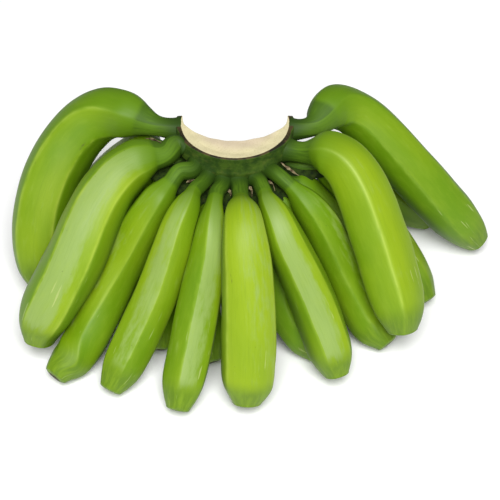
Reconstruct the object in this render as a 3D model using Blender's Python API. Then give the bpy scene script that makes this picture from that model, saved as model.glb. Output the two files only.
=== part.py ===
"""A cut hand of green plantains, resting palm down on its finger tips.

The fingers grow in two rows around a crescent-shaped crown, which is what the knife leaves of the
bunch's stalk.  Points are given round that stalk: an azimuth in degrees (0 is the front, -Y, and
positive is to the right, +X), a distance out from the stalk's axis and a height above the crown's
top, both in metres.  Everything is in metres, with +Z up.
"""

import math
from collections import namedtuple

import bmesh
import bpy
import numpy as np
from mathutils import Vector

# Driving dimensions of the crown.
CROWN_RADIUS = 0.0390        # stalk axis to the rind that the fingers grow from
CROWN_HEIGHT = 0.0460        # top cut face to underside
CROWN_SPAN = 101             # degrees from the front to each horn
CROWN_SECTIONS = 33
CUT_RADIUS = 0.0475          # the knife's path, a wider circle than the rind's
CUT_CENTRE = -0.0285         # its centre, behind the stalk's axis
HORN_THICKNESS = 0.003
EDGE = 0.004                 # how far in the crown's edges are eased
STEM_DROP = {"upper": 0.0080, "lower": 0.0230}   # crown's top to the middle of a stem, at a horn
FRONT_DROP = 0.0145          # how much lower the stems leave the crown at its front

# Driving dimensions of a finger.
SIDES = 10                   # a point on each of the five ridges and in each face between them
RIDGE_HEIGHT = 0.050         # ridges stand this share of the girth above the mean, faces below it
NECK_LENGTH = 0.016          # nearly level stretch where the finger leaves the crown
NECK_RISE = 0.003
TIP_DOME = 0.25              # height of the blunt end's dome, as a share of its radius
PALM = Vector((0.0, 0.0, -0.105))   # a point inside the hand, which every finger bends round

# Shares of a finger's length where its rings lie, closer together where the girth changes fastest.
RING_SHARES = (
    0.0, 0.04, 0.09, 0.13, 0.16, 0.19, 0.22, 0.26, 0.31, 0.37, 0.44, 0.51, 0.58, 0.65, 0.72, 0.79,
    0.85, 0.90, 0.94, 0.975, 1.0,
)

# Share of the full girth along a finger, from the crown to the blunt tip.
GIRTH = (
    (0.00, 0.33), (0.06, 0.30), (0.11, 0.32), (0.15, 0.43), (0.185, 0.60), (0.22, 0.72), (0.30, 0.84),
    (0.42, 0.93), (0.55, 0.98), (0.67, 1.00), (0.80, 0.99), (0.88, 0.95), (0.94, 0.84), (0.98, 0.68),
    (1.00, 0.54),
)
STEM_END = 0.3               # share of the length within which the stem's own radius counts

# How the fingers settle against each other.
JOINT_GAP = 0.0004           # between a finger's stem end and the crown
CONTACT_GAP = 0.0009         # between fingers that press on each other
LEAST_ACROSS = 0.25          # a neighbour nearly straight ahead of a ring doesn't flatten its side
SURFACE = -0.1310            # what the tips rest on, below the crown's top
YIELD = {"upper": 0.35, "lower": 1.0}   # how readily each row gives way
SETTLING_STEPS = 60
LINE = 61                    # points along a finger's middle line
STIFFNESS = 13               # points of the line that move together
HELD = 6                     # points at the stem end that the crown holds more and more

Finger = namedtuple("Finger", "row name base shoulder belly tip girth roll stem fill")

# One line for each finger, from the left horn to the right one.  base is an azimuth; shoulder, belly
# and tip are (azimuth, out, height); girth is the largest radius; roll turns the ridges, in degrees;
# stem is the least radius near the crown; fill is 1, or less where the body swells nearer the crown.
PLACES = {
    "upper": (
        (-91, (-101, 0.092, -0.0065), (-84.5, 0.143, -0.066), (-72, 0.151, -0.124), 0.0220, 38, 0.0072, 0.88),
        (-62, (-65, 0.073, -0.009), (-56.0, 0.124, -0.037), (-51, 0.177, -0.112), 0.0213, 68, 0.0086, 0.88),
        (-44, (-44, 0.072, -0.020), (-49, 0.101, -0.064), (-43.5, 0.186, -0.121), 0.0165, 27, 0.0064, 1),
        (-28, (-24, 0.078, -0.014), (-26.5, 0.104, -0.050), (-31, 0.171, -0.124), 0.0155, 47, 0.0057, 1.12),
        (-13, (-11, 0.076, -0.016), (-11.5, 0.103, -0.050), (-13.5, 0.170, -0.122), 0.0155, 5, 0.0057, 1.18),
        (4, (4, 0.086, -0.012), (4.5, 0.122, -0.048), (3, 0.161, -0.124), 0.0195, 16, 0.0060, 1.15),
        (21, (18, 0.080, -0.014), (25, 0.109, -0.052), (28, 0.155, -0.118), 0.0165, 40, 0.0057, 1.18),
        (37, (41, 0.070, -0.023), (47.5, 0.099, -0.072), (47, 0.152, -0.126), 0.016, 40, 0.0056, 1.12),
        (64, (65, 0.074, -0.002), (57, 0.116, -0.036), (47.5, 0.159, -0.104), 0.0206, 13, 0.0076, 0.9),
        (91, (105, 0.072, -0.003), (96.5, 0.123, -0.045), (90, 0.185, -0.119), 0.019, 16, 0.0070, 0.8),
    ),
    "lower": (
        (-84, (-96, 0.073, -0.038), (-95, 0.107, -0.080), (-90, 0.124, -0.125), 0.016, 30, 0.0052, 0.95),
        (-68, (-75, 0.070, -0.042), (-74, 0.094, -0.083), (-66, 0.116, -0.125), 0.015, 0, 0.0052, 0.95),
        (-52, (-55, 0.067, -0.046), (-55, 0.086, -0.086), (-46, 0.118, -0.125), 0.015, 45, 0.0052, 0.95),
        (-36, (-35, 0.068, -0.047), (-36, 0.087, -0.086), (-27, 0.121, -0.125), 0.015, 15, 0.0052, 0.95),
        (-20, (-16, 0.068, -0.047), (-17, 0.087, -0.087), (-8, 0.121, -0.125), 0.0145, 50, 0.0052, 0.95),
        (-4, (0, 0.068, -0.049), (2, 0.086, -0.088), (8, 0.109, -0.125), 0.014, 25, 0.0052, 0.95),
        (12, (19, 0.068, -0.048), (22.5, 0.089, -0.087), (28, 0.131, -0.125), 0.015, 5, 0.0052, 0.95),
        (28, (34, 0.067, -0.048), (38, 0.086, -0.088), (44, 0.111, -0.125), 0.0145, 60, 0.0052, 0.95),
        (46, (55, 0.069, -0.042), (62, 0.088, -0.084), (62, 0.114, -0.125), 0.015, 20, 0.0052, 0.95),
        (64, (73, 0.073, -0.040), (77, 0.109, -0.081), (67, 0.154, -0.122), 0.016, 35, 0.0052, 0.95),
        (81, (95, 0.072, -0.036), (104, 0.109, -0.080), (99.5, 0.153, -0.122), 0.016, 10, 0.0052, 0.95),
    ),
}
FINGERS = [
    Finger(row, f"{row}_finger_{number}", *places)
    for row, fingers in PLACES.items()
    for number, places in enumerate(fingers, 1)
]

# Colours, each with its roughness.
CROWN_RIND = (0.62, 0.55, 0.36), 0.65
GREEN_PEEL = (0.23, 0.38, 0.04), 0.42


def place(azimuth, out, height):
    """The point at an azimuth in degrees round the stalk, a distance out and a height."""
    angle = math.radians(azimuth)
    return Vector((out * math.sin(angle), -out * math.cos(angle), height))


def spline_bends(knots, gaps):
    """The second derivatives at the knots of the natural cubic spline through them."""
    size = len(knots)
    matrix = np.eye(size)
    bends = np.zeros((size, 3))
    for i in range(1, size - 1):
        matrix[i, i - 1:i + 2] = gaps[i - 1], 2 * (gaps[i - 1] + gaps[i]), gaps[i]
        bends[i] = 6 * ((knots[i + 1] - knots[i]) / gaps[i] - (knots[i] - knots[i - 1]) / gaps[i - 1])
    return np.linalg.solve(matrix, bends)


def distances(points):
    """How far along the points each of them lies."""
    return np.concatenate([[0], np.cumsum(np.linalg.norm(np.diff(points, axis=0), axis=1))])


def smooth_line(points, count):
    """count points evenly spaced along the natural cubic spline through the given points."""
    knots = np.array(points, float)
    along = distances(knots)
    gaps = np.diff(along)
    bends = spline_bends(knots, gaps)

    def at(distance):
        i = min(int(np.searchsorted(along, distance, side="right")) - 1, len(gaps) - 1)
        after = (distance - along[i]) / gaps[i]
        before = 1 - after
        curve = (before**3 - before) * bends[i] + (after**3 - after) * bends[i + 1]
        return before * knots[i] + after * knots[i + 1] + curve * gaps[i] ** 2 / 6

    fine = np.array([at(distance) for distance in np.linspace(0, along[-1], 8 * count)])
    walked = distances(fine)
    even = np.linspace(0, walked[-1], count)
    return np.stack([np.interp(even, walked, fine[:, k]) for k in range(3)], axis=1)


def radii_along(finger, shares):
    """The finger's radius at each share of its length."""
    shares = np.array(shares)
    places, girths = zip(*GIRTH)
    radii = finger.girth * np.interp(shares**finger.fill, places, girths)
    return np.where(shares < STEM_END, np.maximum(radii, finger.stem), radii)


def drawn_line(finger):
    """The middle line of a finger as it is placed, before its neighbours push it."""
    height = -STEM_DROP[finger.row] - FRONT_DROP * math.cos(math.radians(finger.base)) ** 2
    base = place(finger.base, CROWN_RADIUS + JOINT_GAP, height)
    neck = place(finger.base, CROWN_RADIUS + JOINT_GAP + NECK_LENGTH, height + NECK_RISE)
    return smooth_line([base, neck, place(*finger.shoulder), place(*finger.belly), place(*finger.tip)], LINE)


def push_apart(line, radii, other, other_radii):
    """How far each point of a line would move to bring its finger clear of another one."""
    offsets = line[:, None] - other[None]
    apart = np.linalg.norm(offsets, axis=2)
    overlap = radii[:, None] + other_radii[None] - apart
    worst = overlap.argmax(axis=1)
    points = np.arange(LINE)
    depth = np.maximum(overlap[points, worst], 0)
    return offsets[points, worst] * (depth / apart[points, worst])[:, None]


def evened(move, held):
    """The moves along a finger, evened out so that it bends gently and stays on the crown."""
    window = np.hanning(STIFFNESS)
    padded = np.pad(move, ((STIFFNESS // 2, STIFFNESS // 2), (0, 0)), mode="edge")
    even = [np.convolve(padded[:, k], window / window.sum(), "valid") for k in range(3)]
    return np.stack(even, axis=1) * held


def settle(fingers):
    """The fingers' middle lines, once they have pushed each other apart and rest on the surface."""
    lines = {f.name: drawn_line(f) for f in fingers}
    radii = {f.name: radii_along(f, np.linspace(0, 1, LINE)) for f in fingers}
    held = np.clip(np.arange(LINE)[:, None] / HELD, 0, 1)
    for _ in range(SETTLING_STEPS):
        moves = {f.name: np.zeros((LINE, 3)) for f in fingers}
        for a in fingers:
            for b in fingers:
                if a is not b:
                    share = YIELD[a.row] / (YIELD[a.row] + YIELD[b.row])
                    push = push_apart(lines[a.name], radii[a.name], lines[b.name], radii[b.name])
                    moves[a.name] += share * push
        for name, move in moves.items():
            move[:, 2] += np.maximum(SURFACE + radii[name] - lines[name][:, 2], 0)
            lines[name] += evened(move, held)
    return lines


def ring_frame(line, share):
    """The centre, tangent, outward and sideways directions of a finger's ring."""
    i = round(share * (LINE - 1))
    centre = Vector(line[i])
    tangent = Vector(line[min(i + 1, LINE - 1)] - line[max(i - 1, 0)]).normalized()
    outward = centre - PALM
    outward = (outward - outward.dot(tangent) * tangent).normalized()
    return centre, tangent, outward, tangent.cross(outward)


def ring_points(frame, radius, roll):
    """The corners of one ring: ridges and faces alternate round it."""
    centre, _, outward, sideways = frame
    points = []
    for side in range(SIDES):
        angle = math.radians(roll) + 2 * math.pi * side / SIDES
        reach = radius * (1 + (RIDGE_HEIGHT if side % 2 == 0 else -RIDGE_HEIGHT))
        points.append(centre + reach * (math.cos(angle) * outward + math.sin(angle) * sideways))
    return points


def pressed(points, frame, radius, others):
    """The ring's corners, held back from the fingers that press on it, which leaves it a flat there."""
    centre, tangent = frame[:2]
    for line, radii in others:
        offsets = line - np.array(centre)
        apart = np.linalg.norm(offsets, axis=1)
        nearest = int(np.argmin(apart - radii))
        distance = float(apart[nearest])
        toward = Vector(offsets[nearest] / distance)
        limit = (distance**2 + radius**2 - float(radii[nearest]) ** 2) / (2 * distance) - CONTACT_GAP / 2
        across = toward - toward.dot(tangent) * tangent
        if across.length > LEAST_ACROSS:
            limit /= across.length
            across.normalize()
            points = [p - max(0.0, (p - centre).dot(across) - limit) * across for p in points]
    return points


def on_rind(point):
    """The point moved straight in or out from the stalk's axis until it lies just off the crown."""
    scale = (CROWN_RADIUS + JOINT_GAP) / point.xy.length
    return Vector((point.x * scale, point.y * scale, point.z))


def ring_edges(ring):
    """The edges between a closed ring's corners."""
    return [e for a, b in zip(ring, ring[1:] + ring[:1]) for e in a.link_edges if e.other_vert(a) is b]


def extrude_ring(bm, ring, points):
    """Extrudes a closed ring of corners once and sets the new corners, in the same order."""
    grown = bmesh.ops.extrude_edge_only(bm, edges=ring_edges(ring))["geom"]
    copies = {tuple(e.co): e for e in grown if isinstance(e, bmesh.types.BMVert)}
    corners = [copies[tuple(corner.co)] for corner in ring]
    for corner, point in zip(corners, points):
        corner.co = point
    return corners


def close_ring(bm, ring, point):
    """Closes a ring with a low dome that rises to one point."""
    bmesh.ops.pointmerge(bm, verts=extrude_ring(bm, ring, [c.co for c in ring]), merge_co=point)


def finish_object(name, bm, colour, roughness):
    """Makes the bmesh an object with a material of its own."""
    bmesh.ops.triangulate(bm, faces=bm.faces)
    bmesh.ops.recalc_face_normals(bm, faces=bm.faces)
    if bm.calc_volume(signed=True) < 0:
        bmesh.ops.reverse_faces(bm, faces=bm.faces)
    mesh = bpy.data.meshes.new(name)
    bm.to_mesh(mesh)
    bm.free()
    mesh.shade_smooth()
    material = bpy.data.materials.new(name)
    material.use_nodes = True
    shader = material.node_tree.nodes["Principled BSDF"]
    shader.inputs["Base Color"].default_value = (*colour, 1)
    shader.inputs["Roughness"].default_value = roughness
    shader.inputs["Metallic"].default_value = 0.0
    mesh.materials.append(material)
    obj = bpy.data.objects.new(name, mesh)
    bpy.context.scene.collection.objects.link(obj)
    return obj


def make_finger(finger, line, others):
    """One finger: a lofted five-sided fruit with a thin stem and a blunt tip."""
    frames = [ring_frame(line, share) for share in RING_SHARES]
    radii = radii_along(finger, RING_SHARES)
    loops = [
        pressed(ring_points(frame, float(radius), finger.roll), frame, float(radius), others)
        for frame, radius in zip(frames, radii)
    ]
    bm = bmesh.new()
    first = ring = bmesh.ops.create_circle(bm, segments=SIDES, radius=finger.girth)["verts"]
    for corner, point in zip(ring, loops[0]):
        corner.co = on_rind(point)
    for points in loops[1:]:
        ring = extrude_ring(bm, ring, points)
    close_ring(bm, first, on_rind(frames[0][0]))
    close_ring(bm, ring, frames[-1][0] + TIP_DOME * float(radii[-1]) * frames[-1][1])
    return finish_object(finger.name, bm, *GREEN_PEEL)


def make_fingers():
    """All the fingers, each held back from its neighbours."""
    lines = settle(FINGERS)
    shapes = {f.name: (lines[f.name], radii_along(f, np.linspace(0, 1, LINE))) for f in FINGERS}
    made = []
    for finger in FINGERS:
        others = [shape for name, shape in shapes.items() if name != finger.name]
        made.append(make_finger(finger, lines[finger.name], others))
    return made


def crown_section(azimuth):
    """The crown's outline in the plane of an azimuth, as (out, height) points."""
    angle = math.radians(azimuth)
    reach = CUT_CENTRE * math.cos(angle)
    cut = reach + math.sqrt(reach**2 + CUT_RADIUS**2 - CUT_CENTRE**2)
    cut = min(cut, CROWN_RADIUS - HORN_THICKNESS)
    ease = min(EDGE, (CROWN_RADIUS - cut) / 3)
    return (
        (CROWN_RADIUS - ease / 3, 0.0),
        (cut + ease, 0.0),
        (cut, -ease),
        (cut, ease - CROWN_HEIGHT),
        (cut + ease, -CROWN_HEIGHT),
        (CROWN_RADIUS - ease, -CROWN_HEIGHT),
        (CROWN_RADIUS, ease - CROWN_HEIGHT),
        (CROWN_RADIUS, -ease),
    )


def make_crown():
    """The crescent that the fingers grow from, thickest at the front and thin at its two horns."""
    bm = bmesh.new()
    sections = [
        [place(azimuth, out, height) for out, height in crown_section(azimuth)]
        for azimuth in np.linspace(-CROWN_SPAN, CROWN_SPAN, CROWN_SECTIONS)
    ]
    first = ring = bmesh.ops.create_circle(bm, segments=len(sections[0]), radius=CROWN_RADIUS)["verts"]
    for corner, point in zip(ring, sections[0]):
        corner.co = point
    for points in sections[1:]:
        ring = extrude_ring(bm, ring, points)
    bmesh.ops.contextual_create(bm, geom=ring_edges(first))
    bmesh.ops.contextual_create(bm, geom=ring_edges(ring))
    return finish_object("crown", bm, *CROWN_RIND)


def stand_on_surface(objects):
    """Puts the middle of the base of the hand's box at the origin."""
    corners = np.array([obj.matrix_world @ v.co for obj in objects for v in obj.data.vertices])
    low, high = corners.min(axis=0), corners.max(axis=0)
    hand = bpy.data.objects.new("hand", None)
    bpy.context.scene.collection.objects.link(hand)
    hand.location = -(low[0] + high[0]) / 2, -(low[1] + high[1]) / 2, -low[2]
    for obj in objects:
        obj.parent = hand


def main():
    for obj in list(bpy.data.objects):
        bpy.data.objects.remove(obj)
    stand_on_surface([make_crown()] + make_fingers())


main()
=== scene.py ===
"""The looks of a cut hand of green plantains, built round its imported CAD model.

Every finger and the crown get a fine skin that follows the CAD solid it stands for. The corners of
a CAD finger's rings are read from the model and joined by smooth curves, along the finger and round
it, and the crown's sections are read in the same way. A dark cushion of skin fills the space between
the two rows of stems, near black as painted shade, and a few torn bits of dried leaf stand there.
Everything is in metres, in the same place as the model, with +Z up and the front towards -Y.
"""

import math

import bmesh
import bpy
import numpy as np
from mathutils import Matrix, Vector


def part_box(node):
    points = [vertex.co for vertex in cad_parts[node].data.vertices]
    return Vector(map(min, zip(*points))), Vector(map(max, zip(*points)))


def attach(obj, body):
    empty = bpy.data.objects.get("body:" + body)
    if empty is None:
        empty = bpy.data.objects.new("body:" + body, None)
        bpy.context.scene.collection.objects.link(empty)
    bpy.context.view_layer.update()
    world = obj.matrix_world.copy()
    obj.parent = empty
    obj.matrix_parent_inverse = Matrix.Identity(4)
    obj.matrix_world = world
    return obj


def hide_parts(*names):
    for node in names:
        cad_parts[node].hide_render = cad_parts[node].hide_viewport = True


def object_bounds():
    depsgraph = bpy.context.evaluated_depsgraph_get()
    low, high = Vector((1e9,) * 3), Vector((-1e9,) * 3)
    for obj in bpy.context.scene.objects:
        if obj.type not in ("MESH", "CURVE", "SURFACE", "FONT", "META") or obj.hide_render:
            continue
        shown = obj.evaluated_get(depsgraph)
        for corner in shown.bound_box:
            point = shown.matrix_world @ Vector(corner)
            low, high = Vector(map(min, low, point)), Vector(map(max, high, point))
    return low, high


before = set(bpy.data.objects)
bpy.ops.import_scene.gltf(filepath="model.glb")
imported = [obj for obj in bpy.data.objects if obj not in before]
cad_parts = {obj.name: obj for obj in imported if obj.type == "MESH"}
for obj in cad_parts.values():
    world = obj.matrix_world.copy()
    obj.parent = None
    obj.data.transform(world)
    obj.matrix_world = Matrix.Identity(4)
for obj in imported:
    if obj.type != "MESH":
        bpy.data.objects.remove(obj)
cad_low, cad_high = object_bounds()
crown_low, crown_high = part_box("crown")

# The stalk that the fingers grew round, from the crown's box, and the middle of the hand's palm.
CROWN_RADIUS = (crown_high.x - crown_low.x) / 2
CROWN_HEIGHT = crown_high.z - crown_low.z
STALK = Vector(((crown_low.x + crown_high.x) / 2, crown_low.y + CROWN_RADIUS, crown_high.z))
PALM = STALK - Vector((0, 0, 0.105))

# How the CAD's pieces are made.
SIDES = 10                   # corners of a finger's ring: a ridge, the middle of a face, and so on
RIDGES = 5
SLOW_WAVES = 3               # of a ring's radius, which keep the flats where fingers press
SMOOTHINGS = 2               # how often a finger's rings are evened out with their neighbours
SECTION_GAP = 0.02           # radians: less than lies between two sections of the crown
SAME_CORNER = 1e-5           # metres: loose corners this close are one

# How finely the skins are made.
AROUND = 100
ALONG = 132
CAP_ROWS = 14                # of the rows along a finger, those that round off its tip
CROWN_ROWS = 280
CROWN_SIDES = ((14, 60, 110, 30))
CORNER_POINTS = 7            # round each of the four corners of a section of the crown
CUSHION_ROWS = 160
CUSHION_AROUND = 32
SCRAP_ROWS = 24
SCRAP_AROUND = 12
SAME_POINT = 1e-7            # metres: points of a skin this close are one

# Where the points of a finger's skin are.
TIP_ALONG = 0.03             # how much further along the top of the tip's dome counts than its foot
TURN = np.arange(AROUND) / AROUND
BODY = np.linspace(0, 1, ALONG - CAP_ROWS)
DOME = np.linspace(0, 1, CAP_ROWS + 1)[1:]
SHARE = np.concatenate([BODY, 1 + TIP_ALONG * DOME])[:, None] * np.ones(AROUND)

# The shape of a finger. Pairs are the shares of its length between which something comes or goes.
FLATNESS = 0.55              # 0 for a round finger, 1 for five flat faces with sharp ridges
RIDGE_SOFTNESS = 0.07        # radians round the finger over which a ridge is rounded
STEM_FLATNESS = 0.45         # of the body's flatness, what is left on the stem and the tip
BODY_STARTS = (0.12, 0.25)
BODY_ENDS = (1.03, 0.95)
COLLAR = 0.030               # how much the body swells where the stem ends, of its radius
COLLAR_RISES = (0.143, 0.158)
COLLAR_FALLS = (0.30, 0.17)
FLARE = 0.55                 # how much the stem spreads where it joins the crown, of its radius
FLARE_LENGTH = 0.018         # share of the finger's length in which most of the spread is gone
INTO_CROWN = 0.0016          # how far the stem's end reaches towards the stalk
TIP_BLUNTNESS = 0.72         # 1 for a tip that is as round as an egg, less for a blunter one
UNEVENNESS = 0.010           # of the radius
UNEVEN_WAVES = 9
MOST_TURNS = 4               # of an uneven wave, round the finger
SWINGS = (0.5, 7)            # of an uneven wave, along the finger
FINGER_SEED = 7

# Where the ridges stand, in turns from the CAD finger's roll, on most fingers and on two that
# aren't even with it: the middle finger's top face is broad, and the ninth has a ridge on top.
EVEN_RIDGES = (0.0, 0.2, 0.4, 0.6, 0.8)
OWN_RIDGES = {
    "upper_finger_6": (0.103, 0.274, 0.444, 0.615, 0.786),
    "upper_finger_9": (0.080, 0.280, 0.480, 0.680, 0.880),
}

# How yellow each upper finger's peel is, how much wax with painted sheen it bears, how pale its ridges
# are, and the edge of each face, 1 for the later one round the finger, where the wax and painted sheen
# end sharply.
PEELS = {
    "upper_finger_1": (-0.20, 0.15, 0.8, 1),
    "upper_finger_2": (0.05, 0.90, 0.9, 1),
    "upper_finger_3": (0.00, 0.45, 0.3, 1),
    "upper_finger_4": (0.12, 1.20, 0.3, 0),
    "upper_finger_5": (0.00, 1.15, 0.3, 1),
    "upper_finger_6": (0.30, 0.50, 0.7, 0),
    "upper_finger_7": (0.08, 1.20, 0.3, 1),
    "upper_finger_8": (-0.02, 0.80, 0.3, 0),
    "upper_finger_9": (0.02, 0.12, 1.0, 1),
    "upper_finger_10": (-0.32, 0.10, 0.3, 1),
}
LOWER_TONES = (-0.2, 0.0)    # a lower finger's yellowness is drawn between these
LOWER_PEEL = (0.2, 0.2, 1)   # and this is the rest of what the table says of an upper one

# How the peel's marks lie. The pairs for wax with painted sheen and for painted shade run from -1,
# facing down, to 1, facing the sky.
SKYWARD = Vector((0.12, -0.30, 0.95)).normalized()
WAX_AND_SHEEN_FACING = (0.30, 0.92)
# Painted shade on the faces that look away from the sky.
SHADED = (0.30, -0.15)
# Wax with painted sheen fades across each face from its soft edge.
WAX_AND_SHEEN_FADES = (-0.10, 0.65)    # shares of a face's width, from its soft edge
RIDGE_LINE = 0.045           # how wide the pale line on a ridge is, as a share of a face
FACE_CHANCE = 0.12           # the most that a face's tone is off by chance
SCARRED = (0.55, 0.85)       # shares of the way up the tip's dome
PATTERN_SHIFT = 9            # the most that a finger's pattern is shifted, so that no two match

# The crown. Pairs are metres: out from the stalk in RIND_OUT, and up from the top in the others.
CROWN_EDGES = (0.0022, 0.0007, 0.0006, 0.0022)   # roundings, from the hollow side's foot and round
HORN_TAPER = 0.8             # share of the way to a horn's end where the crown starts to thin out
HORN_THINNING = 0.8          # of the crown's thickness, what is gone at a horn's end
RIND_OUT = (CROWN_RADIUS - 0.0008, CROWN_RADIUS - 0.0002)
RIND_TOP = (0.0002, -0.0008)
UNDERSIDE = (0.004 - CROWN_HEIGHT, 0.002 - CROWN_HEIGHT)
BAND = (-0.0175, -0.0125)    # above this the rind stands out a little
BAND_SWELL = 0.0014
NECK_SWELL = 0.0042          # how far the rind stands out round a stem
NECK_SPREAD = 1.15           # how far that reaches, in radii of the stem
RIM_WIDTH = 0.0005
RIM_TOP = (-0.0010, -0.0003)
FLESH_DEPTH = 0.018          # inwards from the rind, where the flesh's tone has changed
CUT_TOP = (-0.003, 0.0)
DISH_EDGE = 0.006            # inwards from the rind, where the knife's dish reaches its depth
DISH = (0.0006, 0.0007)      # the dish's least depth, and the most that its waves add
DISH_WAVES = ((310, 170), (190, -330))           # how closely two crossing waves follow, along X and Y

# The cushion between the two rows of stems, a dark sheet of painted shade.
CUSHION_SPAN = 1.56          # radians to either side of the front
CUSHION_DROP = -0.0300       # below the crown's top, at the front
CUSHION_RISE = 0.0125        # how much higher it is at RISE_AZIMUTH
RISE_AZIMUTH = 1.6
CUSHION_OUT = 0.0030         # from the crown's rind to the cushion's middle line
CUSHION_WIDTH = (0.0200, 0.0130)                 # outwards: at the front, and what the ends add
WIDER = (0.85, 1.25)         # radians between which the ends' width is added
CUSHION_INWARDS = 0.0045
CUSHION_THICK = 0.0048       # to either side of its middle
CUSHION_EDGE = ((0.0016, 23, 0), (0.0011, 57, 1))   # waves: size, waves to 2 pi, and where they start

# Torn bits of dried leaf: azimuth in degrees, distance out and drop for both ends, and half width.
SCRAPS = [
    ((-64, 0.046, -0.0042), (-77, 0.066, -0.0030), 0.0017),
    ((-53, 0.043, -0.0150), (-50, 0.056, -0.0160), 0.0011),
    ((-36, 0.042, -0.0180), (-37, 0.056, -0.0195), 0.0015),
    ((-21, 0.043, -0.0215), (-19, 0.055, -0.0235), 0.0010),
    ((-5, 0.043, -0.0225), (-4, 0.053, -0.0245), 0.0011),
    ((12, 0.042, -0.0215), (13, 0.055, -0.0230), 0.0012),
    ((29, 0.043, -0.0190), (30, 0.058, -0.0205), 0.0012),
    ((50, 0.042, -0.0150), (50, 0.060, -0.0165), 0.0010),
]
SCRAP_THICK = 0.00022        # to either side of its middle
SIDEWAYS_BOW = 0.02          # radians that a scrap wanders sideways
UPWARD_BOW = 0.0008          # metres that it wanders up and down
SCRAP_CURL = 1.6             # radians that it turns from end to end
CURL_CHANCE = 0.6            # radians, the most that it is turned by chance
TORN_EDGE = 0.3              # how ragged its edges are, as a share of its width
SCRAP_SEED = 11

# The studio.
CAMERA_RISE = math.radians(45)
CAMERA_DISTANCE = 1.2
VIEW_WIDTH = 0.36            # what the view takes in from side to side, at the crown's distance
AIM_RIGHT = 0.030            # from the stalk to the view's middle, in widths of the view
AIM_DOWN = 0.256
SKY_BRIGHTNESS = 0.24
KEY_PLACE = (0.05, -1.20, 1.90)
KEY_AIM = (0, 0, 0.06)
KEY_SIZE = 1.3
KEY_POWER = 72
TABLE_REACH = 3.0            # from its middle to its edges
TABLE_GAP = 0.0005           # below the lowest finger tip


# ---------------------------------------------------------------- shader tools


class Value:
    """A number or colour that a shader works out, so that shader maths is written as expressions."""

    def __init__(self, finish, socket):
        self.finish = finish
        self.socket = socket

    def math(self, operation, *values):
        return self.finish.node("ShaderNodeMath", {"operation": operation}, dict(enumerate(values)))

    def __add__(self, other):
        return self.math("ADD", self, other)

    def __radd__(self, other):
        return self.math("ADD", other, self)

    def __sub__(self, other):
        return self.math("SUBTRACT", self, other)

    def __rsub__(self, other):
        return self.math("SUBTRACT", other, self)

    def __mul__(self, other):
        return self.math("MULTIPLY", self, other)

    def __rmul__(self, other):
        return self.math("MULTIPLY", other, self)


class Finish:
    """A material under construction."""

    def __init__(self, name):
        self.material = bpy.data.materials.new(name)
        self.material.use_nodes = True
        self.tree = self.material.node_tree
        self.shader = self.tree.nodes["Principled BSDF"]

    def node(self, kind, settings=None, inputs=None, output=0):
        """Adds a node: its settings first, then the values or links of its sockets."""
        node = self.tree.nodes.new(kind)
        for name, value in (settings or {}).items():
            setattr(node, name, value)
        for name, value in (inputs or {}).items():
            self.feed(node.inputs[name], value)
        return Value(self, node.outputs[output])

    def feed(self, socket, value):
        if isinstance(value, Value):
            self.tree.links.new(value.socket, socket)
        elif socket.type == "RGBA":
            socket.default_value = (*value, 1)
        else:
            socket.default_value = value

    def set(self, **values):
        """Sets the shader's own sockets; a name's spaces are written as underscores."""
        for name, value in values.items():
            self.feed(self.shader.inputs[name.replace("_", " ")], value)

    def attribute(self, name, output="Fac"):
        return self.node("ShaderNodeAttribute", {"attribute_name": name}, output=output)

    def place(self):
        """The point of the piece that is being shaded."""
        return self.node("ShaderNodeTexCoord", output="Object")

    def stretched(self, vector, lengthwise):
        """The vector with its third axis scaled, so that a pattern is drawn out or pressed along it."""
        inputs = {0: vector, 1: (1, 1, lengthwise)}
        return self.node("ShaderNodeVectorMath", {"operation": "MULTIPLY"}, inputs)

    def noise(self, vector, scale, detail, roughness=0.5):
        inputs = {"Vector": vector, "Scale": scale, "Detail": detail, "Roughness": roughness}
        return self.node("ShaderNodeTexNoise", inputs=inputs)

    def cells(self, vector, scale):
        return self.node("ShaderNodeTexVoronoi", inputs={"Vector": vector, "Scale": scale})

    def step(self, value, low, high):
        """0 up to low and 1 from high on, with a smooth passage; low may be the greater of the two."""
        inputs = {"Value": value, "From Min": low, "From Max": high}
        return self.node("ShaderNodeMapRange", {"interpolation_type": "SMOOTHSTEP"}, inputs)

    def mix(self, share, first, second):
        """A colour between the first one, at a share of 0, and the second, at 1."""
        inputs = {0: share, 6: first, 7: second}
        return self.node("ShaderNodeMix", {"data_type": "RGBA"}, inputs, output=2)

    def bump(self, height, distance, strength, under=None):
        inputs = {"Height": height, "Distance": distance, "Strength": strength}
        if under is not None:
            inputs["Normal"] = under
        return self.node("ShaderNodeBump", inputs=inputs)


# ---------------------------------------------------------------- finishes


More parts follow.
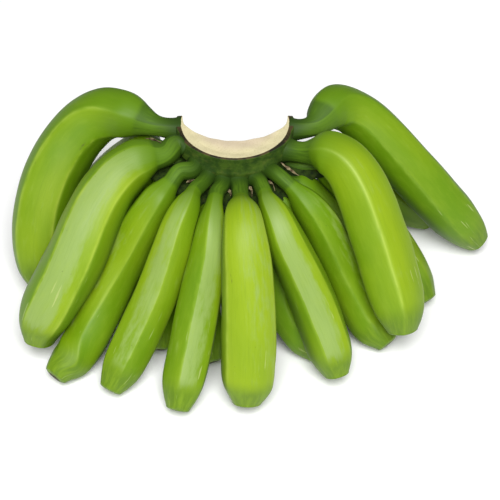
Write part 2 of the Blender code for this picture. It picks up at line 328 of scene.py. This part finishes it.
class Peel(Finish):
    """Waxy green plantain peel: dull stem, bright body with pale ridges, olive tip with a dry scar."""

    def __init__(self):
        super().__init__("peel")
        self.straight = self.attribute("straight", "Vector")
        self.along = self.attribute("along")
        self.facet_light_and_tone = self.attribute("facet_light_and_tone")
        self.scar = self.attribute("scar")
        self.drift = self.streaks(0.35, 30, 2)
        self.mottle = self.streaks(0.3, 260, 4, 0.6)
        self.fibre = self.streaks(0.05, 900, 3, 0.6)
        self.wander = self.along + 0.020 * (self.drift - 0.5)
        self.bodily = self.step(self.wander, 1.0, 0.93)

    def streaks(self, lengthwise, scale, detail, roughness=0.5):
        """A noise drawn out along the finger, the more the smaller lengthwise is."""
        return self.noise(self.stretched(self.straight, lengthwise), scale, detail, roughness)

    def wax_and_sheen_patches(self):
        """Where the body bears wax with painted sheen: on the faces that look up, in soft patches, and
        not on the tip.
        """
        patchy = 0.6 * (self.drift - 0.5) + 0.9 * (self.mottle - 0.5)
        before_tip = self.step(self.wander + 0.10 * (self.mottle - 0.5), 0.93, 0.89)
        return self.step(self.attribute("bloom_and_sheen") + patchy, 0.20, 0.62) * before_tip

    def body_colour(self):
        """The body's green with its wax and painted sheen, pale flecks, dark fibres, pale ridges and
        painted shade on the side away from the sky.
        """
        deep_green = (0.105, 0.220, 0.0010)
        yellow_green = (0.225, 0.330, 0.004)
        wax_and_sheen = (0.225, 0.325, 0.082)
        fleck = (0.250, 0.360, 0.020)
        dark_fibre = (0.080, 0.175, 0.0015)
        pale_ridge = (0.350, 0.470, 0.055)
        shaded = (0.035, 0.085, 0.001)

        # The yellow-green follows real tone and also each face's painted light.
        yellowness_and_facet_light = self.drift + 0.45 * self.facet_light_and_tone + self.attribute("tone")
        colour = self.mix(self.step(yellowness_and_facet_light, 0.05, 0.95), deep_green, yellow_green)
        # Wax, partly real bloom and partly painted sheen on the faces that look up.
        colour = self.mix(self.wax_and_sheen_patches() * 0.85, colour, wax_and_sheen)
        colour = self.mix(self.step(self.mottle, 0.40, 0.80) * 0.20, colour, fleck)
        colour = self.mix(self.step(self.fibre, 0.45, 0.75) * 0.16 * self.bodily, colour, dark_fibre)
        crest = self.attribute("ridge") * self.step(self.drift + self.mottle, 0.65, 1.15) * self.bodily
        colour = self.mix(crest * 0.70, colour, pale_ridge)
        # Painted shade on the side that looks away from the sky.
        return self.mix(self.attribute("shade") * 0.60, colour, shaded)

    def stem_colour(self):
        """The stem's duller green, darkest where it joins the crown, where the darkening is painted
        shade from the crown.
        """
        dull_green = (0.048, 0.112, 0.002)
        lit_green = (0.085, 0.178, 0.005)
        dark_fibre = (0.035, 0.075, 0.004)
        crown_shade = (0.018, 0.050, 0.001)

        # The lighter green follows mottling and also each face's painted light.
        colour = self.mix(self.step(self.mottle + 0.4 * self.facet_light_and_tone, 0.3, 0.7), dull_green, lit_green)
        colour = self.mix(self.step(self.fibre, 0.5, 0.8) * 0.4, colour, dark_fibre)
        # Painted shade towards the crown end of the stem.
        return self.mix(self.step(self.wander, 0.110, 0.010), colour, crown_shade)

    def fresh_colour(self):
        """Stem, body and tip, one after the other along the finger."""
        throat_green = (0.090, 0.190, 0.0015)
        tip_green = (0.085, 0.165, 0.0015)
        tip_olive = (0.140, 0.240, 0.006)

        body = self.mix(self.step(self.wander, 0.120, 0.340), throat_green, self.body_colour())
        colour = self.mix(self.step(self.wander, 0.138, 0.156), self.stem_colour(), body)
        tip = self.mix(self.step(self.mottle, 0.35, 0.7), tip_green, tip_olive)
        return self.mix(self.step(self.wander + 0.06 * self.mottle, 0.905, 0.985) * 0.85, colour, tip)

    def marked_colour(self):
        """The fresh colour with pale scratches near the tip, specks, bruises and the tip's scar."""
        pale_scratch = (0.430, 0.480, 0.180)
        speck_brown = (0.045, 0.045, 0.012)
        bruise_brown = (0.070, 0.068, 0.016)
        scar_black = (0.012, 0.010, 0.006)
        scar_brown = (0.080, 0.058, 0.030)

        scratch = self.step(self.streaks(0.10, 420, 2, 0.4), 0.715, 0.745)
        scratch = scratch * self.step(self.along, 0.55, 0.85)
        speck = self.step(self.cells(self.straight, 150) + 0.25 * self.drift, 0.20, 0.12)
        speck = speck * self.step(self.noise(self.straight, 1500, 2), 0.5, 0.6)
        bruise = self.step(self.streaks(0.16, 120, 5, 0.7), 0.690, 0.740)
        colour = self.mix(scratch * 0.5, self.fresh_colour(), pale_scratch)
        colour = self.mix(speck * 0.65, colour, speck_brown)
        colour = self.mix(bruise * 0.55, colour, bruise_brown)
        dry = self.mix(self.step(self.mottle, 0.4, 0.65), scar_black, scar_brown)
        return self.mix(self.step(self.scar + 0.3 * (self.mottle - 0.5), 0.42, 0.58), colour, dry)

    def finished(self):
        """The material, rougher on the stem and the scar, with fine fibres in relief."""
        stem = 1 - self.step(self.wander, 0.12, 0.19)
        rough = 0.44 + 0.14 * self.mottle + 0.14 * stem + 0.35 * self.scar
        normal = self.bump(self.fibre * self.bodily, 0.00012, 0.35)
        normal = self.bump(self.mottle, 0.0005, 0.30, normal)
        colour = self.marked_colour()
        self.set(Base_Color=colour, Roughness=rough, Normal=normal, Specular_IOR_Level=0.28)
        return self.material


def flesh_colour(finish, place, cloud, grit):
    """The cream of the fresh cut, with pits and the ends of its fibres."""
    cream = (0.61, 0.55, 0.33)
    inner_cream = (0.56, 0.47, 0.33)
    pit = (0.43, 0.36, 0.19)
    fibre_end = (0.50, 0.38, 0.18)
    pale_cloud = (0.68, 0.63, 0.44)

    depth = finish.attribute("depth") + 0.5 * (cloud - 0.5)
    fibres = finish.cells(finish.stretched(place, 0.15), 1100)
    colour = finish.mix(finish.step(depth, 0.25, 0.85), cream, inner_cream)
    colour = finish.mix(finish.step(grit, 0.50, 0.68) * 0.55, colour, pit)
    colour = finish.mix(finish.step(fibres, 0.14, 0.06) * 0.40, colour, fibre_end)
    return finish.mix(finish.step(cloud, 0.55, 0.8) * 0.30, colour, pale_cloud)


def crown_finish():
    """The crown: a fresh cream cut with fibres in it, a thin dried edge and dark green rind."""
    rind_dark = (0.018, 0.048, 0.003)
    rind_green = (0.050, 0.100, 0.006)
    rind_streak = (0.110, 0.130, 0.020)
    dried_black = (0.012, 0.010, 0.003)
    dried_brown = (0.055, 0.038, 0.012)

    finish = Finish("crown_cut_and_rind")
    place = finish.place()
    cloud = finish.noise(place, 120, 4, 0.6)
    grit = finish.noise(place, 900, 4, 0.65)
    streak = finish.noise(finish.stretched(place, 3.0), 160, 4, 0.6)
    skin = finish.mix(finish.step(cloud, 0.35, 0.7), rind_dark, rind_green)
    skin = finish.mix(finish.step(streak, 0.5, 0.72) * 0.35, skin, rind_streak)
    rind = finish.step(finish.attribute("rind") + 0.2 * (grit - 0.5), 0.42, 0.58)
    colour = finish.mix(rind, flesh_colour(finish, place, cloud, grit), skin)
    dried = finish.mix(finish.step(cloud, 0.4, 0.6), dried_black, dried_brown)
    rim = finish.step(finish.attribute("rim") + 0.35 * (grit - 0.5), 0.45, 0.75)
    colour = finish.mix(rim, colour, dried)
    normal = finish.bump(grit, 0.0004, 0.30)
    normal = finish.bump(cloud, 0.0008, 0.25, normal)
    rough = 0.55 + 0.25 * cloud
    finish.set(Base_Color=colour, Roughness=rough, Normal=normal, Specular_IOR_Level=0.25)
    return finish.material


def shade_cushion_finish():
    """The skin between the stems: almost black green as painted shade, with brown where it has dried.
    """
    shade_black_green = (0.006, 0.015, 0.001)
    shade_dark_green = (0.020, 0.040, 0.003)
    dried_brown = (0.050, 0.032, 0.012)

    finish = Finish("stem_cushion_shade")
    patch = finish.noise(finish.place(), 300, 4, 0.6)
    # Painted shade: the cushion's almost black greens.
    colour = finish.mix(finish.step(patch, 0.35, 0.60), shade_black_green, shade_dark_green)
    colour = finish.mix(finish.step(patch, 0.62, 0.70), colour, dried_brown)
    rough = 0.7 + 0.1 * patch
    normal = finish.bump(patch, 0.0006, 0.5)
    finish.set(Base_Color=colour, Roughness=rough, Normal=normal, Specular_IOR_Level=0.15)
    return finish.material


def scrap_finish():
    """Dry, torn bits of the leaf that wrapped the flowers: papery, from straw to dark brown."""
    dark_brown = (0.060, 0.032, 0.012)
    straw = (0.330, 0.270, 0.140)

    finish = Finish("dry_bract")
    shade = finish.noise(finish.place(), 380, 4, 0.6)
    colour = finish.mix(finish.step(shade, 0.35, 0.65), dark_brown, straw)
    rough = 0.75 + 0.1 * shade
    finish.set(Base_Color=colour, Roughness=rough, Normal=finish.bump(shade, 0.0005, 0.5))
    return finish.material


def floor_finish():
    """A plain white table."""
    finish = Finish("white_table")
    finish.set(Base_Color=(0.97, 0.97, 0.97), Roughness=0.9, Specular_IOR_Level=0.1)
    return finish.material


# ---------------------------------------------------------------- reading the CAD


def merged_copy(node):
    """A node's mesh with its loose triangles joined at their corners."""
    bm = bmesh.new()
    bm.from_mesh(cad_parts[node].data)
    bmesh.ops.remove_doubles(bm, verts=bm.verts, dist=SAME_CORNER)
    return bm


def rings_from_stem(node):
    """The corners of a finger's rings, in order from the stem, and its two end points."""
    bm = merged_copy(node)
    ends = [v for v in bm.verts if len(v.link_edges) == SIDES]
    ends.sort(key=lambda v: (v.co - STALK).xy.length)
    stem, tip = ends
    seen = {stem}
    edge = [stem]
    rings = []
    while tip not in seen:
        edge = {e.other_vert(v) for v in edge for e in v.link_edges} - seen
        edge = sorted(edge, key=lambda v: tuple(v.co))
        seen.update(edge)
        rings.append([list(v.co) for v in edge])
    found = np.array(rings[:-1]), np.array(stem.co), np.array(tip.co)
    bm.free()
    return found


def ring_directions(centres):
    """The outward and the sideways direction at each ring of a finger."""
    tangents = np.gradient(centres, axis=0)
    tangents /= np.linalg.norm(tangents, axis=1)[:, None]
    outward = centres - np.array(PALM)
    outward -= (outward * tangents).sum(axis=1)[:, None] * tangents
    outward /= np.linalg.norm(outward, axis=1)[:, None]
    return outward, np.cross(tangents, outward)


def slow_shapes(turns):
    """A round shape and its slow waves at the given angles, one to a column."""
    columns = [np.ones_like(turns)]
    for order in range(1, SLOW_WAVES + 1):
        columns += [np.cos(order * turns), np.sin(order * turns)]
    return np.column_stack(columns)


def fitted_rings(rings):
    """What each ring of corners says of its finger: its middle, and its radius as slow waves round it.

    The waves keep the flats where fingers press on each other. The ridges are taken out, because the
    skin makes its own, and only where they stand is kept: the roll, an angle from outward.
    """
    centres = rings.mean(axis=1)
    outward, sideways = ring_directions(centres)
    arms = rings - centres[:, None]
    across = (arms * outward[:, None]).sum(axis=2)
    beside = (arms * sideways[:, None]).sum(axis=2)
    turns = np.arctan2(beside, across)
    reach = np.hypot(across, beside)
    uneven = reach / reach.mean(axis=1)[:, None] - 1
    roll = np.angle((uneven * np.exp(1j * RIDGES * turns)).sum()) / RIDGES
    waves = []
    for ring_turns, ring_reach in zip(turns, reach):
        shapes = np.column_stack([slow_shapes(ring_turns), np.cos(RIDGES * (ring_turns - roll))])
        waves.append(np.linalg.lstsq(shapes, ring_reach, rcond=None)[0][:-1])
    waves = np.array(waves)
    for _ in range(SMOOTHINGS):
        waves[1:-1, 1:] = (waves[:-2, 1:] + 2 * waves[1:-1, 1:] + waves[2:, 1:]) / 4
        centres[3:-1] = (centres[2:-2] + 6 * centres[3:-1] + centres[4:]) / 8
    return centres, waves, roll


def neck_places():
    """Where each finger's stem meets the crown: azimuth, height and radius."""
    places = []
    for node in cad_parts:
        if "finger" in node:
            rings, stem, _ = rings_from_stem(node)
            radius = np.linalg.norm(rings[0] - stem, axis=1).mean()
            places.append((math.atan2(stem[0] - STALK.x, STALK.y - stem[1]), stem[2], radius))
    return places


def crown_sections():
    """The azimuths of the CAD crown's sections and the distance out to the cut at each."""
    bm = merged_copy("crown")
    corners = np.array([v.co for v in bm.verts]) - np.array(STALK)
    bm.free()
    out = np.hypot(corners[:, 0], corners[:, 1])
    azimuth = np.arctan2(corners[:, 0], -corners[:, 1])
    order = np.argsort(azimuth)
    ends = np.flatnonzero(np.diff(azimuth[order]) > SECTION_GAP) + 1
    sections = np.split(order, ends)
    azimuths = np.array([azimuth[s].mean() for s in sections])
    return azimuths, np.array([out[s].min() for s in sections])


# ---------------------------------------------------------------- mesh tools


def smoothstep(value, low, high):
    """0 up to low and 1 from high on, with a smooth passage; low may be the greater of the two."""
    share = np.clip((value - low) / (high - low), 0, 1)
    return share * share * (3 - 2 * share)


def spline_through(knots, places, wanted):
    """Points of the natural cubic spline through rows of knots at the given places."""
    gaps = np.diff(places)
    size = len(places)
    matrix = np.eye(size)
    bends = np.zeros_like(knots)
    for i in range(1, size - 1):
        matrix[i, i - 1:i + 2] = gaps[i - 1], 2 * (gaps[i - 1] + gaps[i]), gaps[i]
        bends[i] = 6 * ((knots[i + 1] - knots[i]) / gaps[i] - (knots[i] - knots[i - 1]) / gaps[i - 1])
    bends = np.linalg.solve(matrix, bends.reshape(size, -1)).reshape(knots.shape)
    found = []
    for place in wanted:
        i = min(max(int(np.searchsorted(places, place, side="right")) - 1, 0), size - 2)
        after = (place - places[i]) / gaps[i]
        before = 1 - after
        curve = (before**3 - before) * bends[i] + (after**3 - after) * bends[i + 1]
        found.append(before * knots[i] + after * knots[i + 1] + curve * gaps[i] ** 2 / 6)
    return np.array(found)


def about_stalk(azimuth, out, drop):
    """Points given by their azimuth from the front, distance out and height over the crown's top."""
    x = STALK.x + out * np.sin(azimuth)
    y = STALK.y - out * np.cos(azimuth)
    return np.stack([x, y, STALK.z + drop], axis=-1)


def closed_rows(points):
    """Rows of points with the first and last drawn together, and none outside the CAD model's box."""
    points = points.copy()
    for end in (0, -1):
        points[end] = points[end].mean(axis=0)
    return np.clip(points, np.array(cad_low), np.array(cad_high))


def skin_mesh(name, points, attributes):
    """A closed skin from rows of points that run round it, with attributes given in the same rows.

    A flat grid is rolled up: its columns go round the piece, and its first and last rows each draw
    together to one point, so that merging its doubles closes the seam and both ends.
    """
    points = closed_rows(points)
    rows, columns = points.shape[:2]
    bm = bmesh.new()
    bm.loops.layers.uv.new("skin")
    bmesh.ops.create_grid(bm, x_segments=columns, y_segments=rows - 1, size=0.5, calc_uvs=True)
    layers = {}
    for key, values in attributes.items():
        kind = bm.verts.layers.float if values.ndim == 2 else bm.verts.layers.float_vector
        layers[key] = kind.new(key)
    for vert in bm.verts:
        column = round((vert.co.x + 0.5) * columns) % columns
        row = round((vert.co.y + 0.5) * (rows - 1))
        vert.co = points[row, column]
        for key, values in attributes.items():
            value = values[row, column]
            vert[layers[key]] = float(value) if values.ndim == 2 else Vector(value)
    bmesh.ops.remove_doubles(bm, verts=bm.verts, dist=SAME_POINT)
    bmesh.ops.recalc_face_normals(bm, faces=bm.faces)
    if bm.calc_volume(signed=True) < 0:
        bmesh.ops.reverse_faces(bm, faces=bm.faces)
    for face in bm.faces:
        face.smooth = True
    mesh = bpy.data.meshes.new(name)
    bm.to_mesh(mesh)
    bm.free()
    return mesh


def piece(name, mesh, material, replaced=None):
    """A finished piece of the hand."""
    obj = bpy.data.objects.new(name, mesh)
    bpy.context.scene.collection.objects.link(obj)
    mesh.materials.append(material)
    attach(obj, "root")
    if replaced:
        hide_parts(replaced)


# ---------------------------------------------------------------- fingers


def in_every_row(values):
    """Values given round a finger, the same in each of its rows."""
    return values[None] * np.ones((ALONG, 1))


def tip_dome(last_middle, last_row, rise):
    """The rows that round off a finger's tip, which lies at the given rise from its last middle."""
    arms = last_row - last_middle
    rows = []
    for lift in DOME:
        angle = lift * math.pi / 2
        shrink = math.cos(angle) ** TIP_BLUNTNESS
        rows.append(last_middle + rise * math.sin(angle) + arms * shrink)
    return np.array(rows)


def smooth_finger(rings, tip):
    """A finger's rows without ridges, the ways its points look out half way along, and its length."""
    centres, waves, roll = fitted_rings(rings)
    gaps = np.linalg.norm(np.diff(centres, axis=0), axis=1)
    places = np.concatenate([[0], np.cumsum(gaps)])
    length = places[-1]
    places = places / length
    angles = roll + 2 * math.pi * TURN
    middles = spline_through(centres, places, BODY)
    radii = spline_through(waves, places, BODY) @ slow_shapes(angles).T
    outward, sideways = ring_directions(middles)
    facing = np.cos(angles)[None, :, None] * outward[:, None]
    facing = facing + np.sin(angles)[None, :, None] * sideways[:, None]
    rows = middles[:, None] + radii[..., None] * facing
    dome = tip_dome(middles[-1], rows[-1], tip - centres[-1])
    return np.concatenate([rows, dome]), facing[len(BODY) // 2], length


def ridges_passed(ridges):
    """How many ridges lie behind each place round, with the share of the face that is passed."""
    around = [ridges[-1] - 1, *ridges, ridges[0] + 1]
    return np.interp(TURN, around, np.arange(-1, RIDGES + 1))


def off_ridge(passed):
    """How far each place round is from the nearest ridge, as a share of a face."""
    return np.abs((passed + 0.5) % 1 - 0.5)


def facet_profile(passed):
    """How far a ring of flat faces stands out from a circle of the same mean radius."""
    half = math.pi / RIDGES
    from_ridge = off_ridge(passed) * 2 * half
    softened = np.sqrt(from_ridge**2 + RIDGE_SOFTNESS**2)
    pentagon = math.cos(half) / np.cos(half - np.minimum(softened, half))
    return FLATNESS * (pentagon - pentagon.mean())


def slow_waves(draw):
    """A gentle unevenness over a finger, about -1 to 1, that meets itself at the seam."""
    share = np.linspace(0, 1, ALONG)[:, None]
    field = np.zeros((ALONG, AROUND))
    for _ in range(UNEVEN_WAVES):
        turns = draw.integers(0, MOST_TURNS + 1)
        swings = draw.uniform(*SWINGS)
        start = draw.uniform(0, 2 * math.pi)
        field += np.cos(2 * math.pi * (turns * TURN + swings * share) + start)
    return field / math.sqrt(UNEVEN_WAVES)


def relief(passed, draw):
    """A finger's radius as a factor of the smooth one's.

    The ridges are crisper than the CAD's, and the faces flatter and a little uneven. The body
    swells where the stem ends, and the stem spreads where it joins the crown.
    """
    bodily = smoothstep(SHARE, *BODY_STARTS) * smoothstep(SHARE, *BODY_ENDS)
    scale = 1 + facet_profile(passed) * (STEM_FLATNESS + (1 - STEM_FLATNESS) * bodily)
    scale += UNEVENNESS * slow_waves(draw) * bodily
    scale += COLLAR * smoothstep(SHARE, *COLLAR_RISES) * smoothstep(SHARE, *COLLAR_FALLS)
    scale += FLARE * np.exp(-SHARE / FLARE_LENGTH)
    return scale


def unrolled(radius, length, draw):
    """Where each point would be on a straight finger, for patterns that run along it."""
    turn = 2 * math.pi * TURN
    across = in_every_row(radius * np.cos(turn)) + draw.uniform(0, PATTERN_SHIFT)
    beside = in_every_row(radius * np.sin(turn)) + draw.uniform(0, PATTERN_SHIFT)
    return np.stack([across, beside, SHARE * length], axis=2)


def peel_marks(peel, passed, facing, draw):
    """What the peel's finish reads at each point; the faces that look up get wax with painted sheen and
    a lighter painted tone, and those that look away get painted shade.
    """
    tone, wax_and_sheen, paleness, sharp_edge = peel
    face = np.floor(passed).astype(int) % RIDGES
    lit = facing @ np.array(SKYWARD)
    # How much wax with painted sheen each face bears, by how far it looks up at the sky.
    wax_and_sheen_by_face = np.array([smoothstep(lit[face == k].mean(), *WAX_AND_SHEEN_FACING) for k in range(RIDGES)])
    # Each face's tone: lighter where the face looks up, which is painted light, and off a little by
    # chance.
    facet_lights_and_tones = wax_and_sheen_by_face - 0.5 + draw.uniform(-FACE_CHANCE, FACE_CHANCE, RIDGES)
    from_soft_edge = passed % 1 if sharp_edge else 1 - passed % 1
    scar = np.concatenate([np.zeros(len(BODY)), smoothstep(DOME, *SCARRED)])
    return {
        "along": SHARE,
        "ridge": in_every_row(np.exp(-((off_ridge(passed) / RIDGE_LINE) ** 2))) * paleness,
        "facet_light_and_tone": in_every_row(facet_lights_and_tones[face]),
        # Wax with painted sheen, fading from each face's soft edge.
        "bloom_and_sheen": in_every_row(wax_and_sheen * wax_and_sheen_by_face[face] * smoothstep(from_soft_edge, *WAX_AND_SHEEN_FADES)),
        # Painted shade where a face looks away from the sky.
        "shade": in_every_row(smoothstep(lit, *SHADED)),
        "tone": np.full_like(SHARE, tone),
        "scar": scar[:, None] * np.ones(AROUND),
    }


def finger_skin(node, draw):
    """The fine skin of one finger."""
    rings, stem, tip = rings_from_stem(node)
    smooth, facing, length = smooth_finger(rings, tip)
    peel = PEELS.get(node, (draw.uniform(*LOWER_TONES), *LOWER_PEEL))
    passed = ridges_passed(OWN_RIDGES.get(node, EVEN_RIDGES))
    middles = smooth.mean(axis=1)[:, None]
    arms = smooth - middles
    rows = middles + arms * relief(passed, draw)[..., None]
    rows[0] += INTO_CROWN * np.array([*(STALK - Vector(stem)).xy.normalized(), 0.0])
    marks = peel_marks(peel, passed, facing, draw)
    marks["straight"] = unrolled(np.linalg.norm(arms, axis=2).max(), length, draw)
    return skin_mesh(node, rows, marks)


def make_fingers(material):
    """Makes the fingers in the order of their names, so that each run draws the same chances."""
    draw = np.random.default_rng(FINGER_SEED)
    for node in sorted(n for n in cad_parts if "finger" in n):
        piece(node + "_skin", finger_skin(node, draw), material, node)


# ---------------------------------------------------------------- crown


def crown_profile(cut):
    """The crown's outline in one section, as out and drop, up the hollow side and round.

    Each side has its own number of points, so that a corner is in the same column of every section.
    """
    corners = [(cut, -CROWN_HEIGHT), (cut, 0.0), (CROWN_RADIUS, 0.0), (CROWN_RADIUS, -CROWN_HEIGHT)]
    corners = [np.array(corner) for corner in corners]
    edges = [min(edge, (CROWN_RADIUS - cut) / 3) for edge in CROWN_EDGES]
    points = []
    for k, count in enumerate(CROWN_SIDES):
        before, corner, after = (corners[j % 4] for j in (k, k + 1, k + 2))
        edge = edges[(k + 1) % 4]
        into = (before - corner) / np.linalg.norm(before - corner)
        away = (after - corner) / np.linalg.norm(after - corner)
        start = before - into * edges[k]
        for share in np.linspace(0, 1, count, endpoint=False)[1:]:
            points.append(start + (corner + edge * into - start) * share)
        for share in np.linspace(0, 1, CORNER_POINTS):
            points.append(corner + edge * ((1 - share) ** 2 * into + share**2 * away))
    return np.array(points)


def near_stem(azimuth, drop, necks):
    """How near a stem each point of a section is, from 0 to 1."""
    nearness = np.zeros_like(drop)
    for neck_azimuth, neck_height, radius in necks:
        across = (azimuth - neck_azimuth) * CROWN_RADIUS
        up = drop + STALK.z - neck_height
        near = np.exp(-(across**2 + up**2) / (2 * (NECK_SPREAD * radius) ** 2))
        nearness = np.maximum(nearness, near)
    return nearness


def knife_dish(out, drop, points):
    """How far below the crown's top the knife cut: a little dished and wavy."""
    x, y = points[:, 0], points[:, 1]
    (first_x, first_y), (second_x, second_y) = DISH_WAVES
    crossing = np.sin(first_x * x + first_y * y) * np.cos(second_x * x + second_y * y)
    inner = np.clip((CROWN_RADIUS - out) / DISH_EDGE, 0, 1)
    least, more = DISH
    return smoothstep(drop, *CUT_TOP) * inner * (least + more * (0.5 + 0.5 * crossing))


def crown_section(azimuth, cut, necks):
    """One section of the crown: its points, and how much each is rind, dried rim and deep flesh."""
    out, drop = crown_profile(cut).T
    inwards = CROWN_RADIUS - out
    outside = smoothstep(out, *RIND_OUT) * smoothstep(drop, *RIND_TOP)
    rind = np.maximum(outside, smoothstep(drop, *UNDERSIDE))
    rim = np.exp(-((inwards / RIM_WIDTH) ** 2)) * smoothstep(drop, *RIM_TOP)
    depth = np.clip(inwards / FLESH_DEPTH, 0, 1)
    band = smoothstep(drop, *BAND) * outside
    out = out + NECK_SWELL * near_stem(azimuth, drop, necks) * outside + BAND_SWELL * band
    points = about_stalk(azimuth, out, drop)
    points[:, 2] -= knife_dish(out, drop, points)
    return points, rind, rim, depth


def crown_skin():
    """The crown's fine skin, with a swelling round each stem."""
    azimuths, cuts = crown_sections()
    wanted = np.linspace(azimuths[0], azimuths[-1], CROWN_ROWS)
    horn = smoothstep(np.abs(wanted), HORN_TAPER * azimuths[-1], azimuths[-1])
    cut_there = np.interp(wanted, azimuths, cuts)
    cut_there += HORN_THINNING * horn * (CROWN_RADIUS - cut_there)
    necks = neck_places()
    sections = [crown_section(azimuth, cut, necks) for azimuth, cut in zip(wanted, cut_there)]
    points, rind, rim, depth = (np.array(rows) for rows in zip(*sections))
    return skin_mesh("crown", points, {"rind": rind, "rim": rim, "depth": depth})


# ---------------------------------------------------------------- between the stems


def cushion_skin():
    """The dark skin between the two rows of stems, where they grow together at the crown, also a sheet
    of painted shade that fills the gaps there.
    """
    azimuth = np.linspace(-CUSHION_SPAN, CUSHION_SPAN, CUSHION_ROWS)[:, None]
    turn = 2 * math.pi * np.arange(CUSHION_AROUND) / CUSHION_AROUND
    end = np.sqrt(np.clip(1 - (azimuth / CUSHION_SPAN) ** 8, 0, 1))
    ragged = sum(size * np.sin(waves * azimuth + start) for size, waves, start in CUSHION_EDGE)
    width, wider = CUSHION_WIDTH
    outwards = (width + wider * smoothstep(np.abs(azimuth), *WIDER) + ragged) * end
    reach = np.where(np.cos(turn) > 0, outwards, CUSHION_INWARDS * end)
    out = CROWN_RADIUS + CUSHION_OUT + reach * np.cos(turn)
    between_rows = CUSHION_DROP + CUSHION_RISE * (azimuth / RISE_AZIMUTH) ** 2
    drop = between_rows + CUSHION_THICK * end * np.sin(turn)
    return skin_mesh("cushion", about_stalk(azimuth, out, drop), {})


def scrap_skin(start, end, half_width, draw):
    """A thin, curled strip of dry leaf between two places given from the stalk."""
    share = np.linspace(0, 1, SCRAP_ROWS)[:, None]
    turn = 2 * math.pi * np.arange(SCRAP_AROUND) / SCRAP_AROUND
    azimuth, out, drop = (a + (b - a) * share for a, b in zip(start, end))
    azimuth = np.radians(azimuth) + SIDEWAYS_BOW * np.sin(5 * share + draw.uniform(0, 6))
    drop = drop + UPWARD_BOW * np.sin(7 * share + draw.uniform(0, 6))
    curl = SCRAP_CURL * share + draw.uniform(-CURL_CHANCE, CURL_CHANCE)
    pointed = np.sin(math.pi * np.clip(share, 0.02, 0.98)) ** 0.6
    torn = 1 + TORN_EDGE * np.sin(19 * share)
    flat = np.cos(turn) * (half_width * pointed * torn)
    thick = np.sin(turn) * SCRAP_THICK
    beside = flat * np.cos(curl) - thick * np.sin(curl)
    above = flat * np.sin(curl) + thick * np.cos(curl)
    off_middle = np.stack([beside * np.cos(azimuth), beside * np.sin(azimuth), above], axis=-1)
    return skin_mesh("scrap", about_stalk(azimuth, out, drop) + off_middle, {})


def make_between():
    """Makes what shows between the two rows of stems: the cushion of painted shade and the scraps of
    leaf.
    """
    piece("stem_cushion_shade", cushion_skin(), shade_cushion_finish())
    material = scrap_finish()
    draw = np.random.default_rng(SCRAP_SEED)
    for number, (start, end, half_width) in enumerate(SCRAPS, start=1):
        piece(f"scrap_{number}", scrap_skin(start, end, half_width, draw), material)


# ---------------------------------------------------------------- studio


def add_floor(material):
    bm = bmesh.new()
    bmesh.ops.create_grid(bm, x_segments=1, y_segments=1, size=TABLE_REACH)
    mesh = bpy.data.meshes.new("table")
    bm.to_mesh(mesh)
    bm.free()
    mesh.materials.append(material)
    table = bpy.data.objects.new("table", mesh)
    bpy.context.scene.collection.objects.link(table)
    table.location.z = cad_low.z - TABLE_GAP


def add_softbox():
    """A square area light that faces the hand from the front and above."""
    light = bpy.data.lights.new("key", "AREA")
    light.size = KEY_SIZE
    light.energy = KEY_POWER
    lamp = bpy.data.objects.new("key", light)
    bpy.context.scene.collection.objects.link(lamp)
    lamp.location = KEY_PLACE
    lamp.rotation_euler = (Vector(KEY_AIM) - Vector(KEY_PLACE)).to_track_quat("-Z", "Y").to_euler()


def add_sky():
    """An even white light from all round."""
    world = bpy.data.worlds.new("studio")
    world.use_nodes = True
    background = world.node_tree.nodes["Background"]
    background.inputs["Color"].default_value = (1, 1, 1, 1)
    background.inputs["Strength"].default_value = SKY_BRIGHTNESS
    bpy.context.scene.world = world


def add_camera():
    """Looks down on the hand from the front, over the tips, with the crown above the middle."""
    back = Vector((0, -math.cos(CAMERA_RISE), math.sin(CAMERA_RISE)))
    right = Vector((1, 0, 0))
    up = back.cross(right)
    middle = STALK + right * AIM_RIGHT * VIEW_WIDTH - up * AIM_DOWN * VIEW_WIDTH
    camera = bpy.data.objects.new("camera", bpy.data.cameras.new("camera"))
    bpy.context.scene.collection.objects.link(camera)
    camera.location = middle + back * CAMERA_DISTANCE
    camera.rotation_euler = (-back).to_track_quat("-Z", "Y").to_euler()
    camera.data.lens = camera.data.sensor_width * CAMERA_DISTANCE / VIEW_WIDTH
    bpy.context.scene.camera = camera


def main():
    add_camera()
    add_sky()
    add_softbox()
    bpy.context.scene.view_settings.view_transform = "Standard"
    add_floor(floor_finish())
    make_fingers(Peel().finished())
    piece("crown_skin", crown_skin(), crown_finish(), "crown")
    make_between()


main()
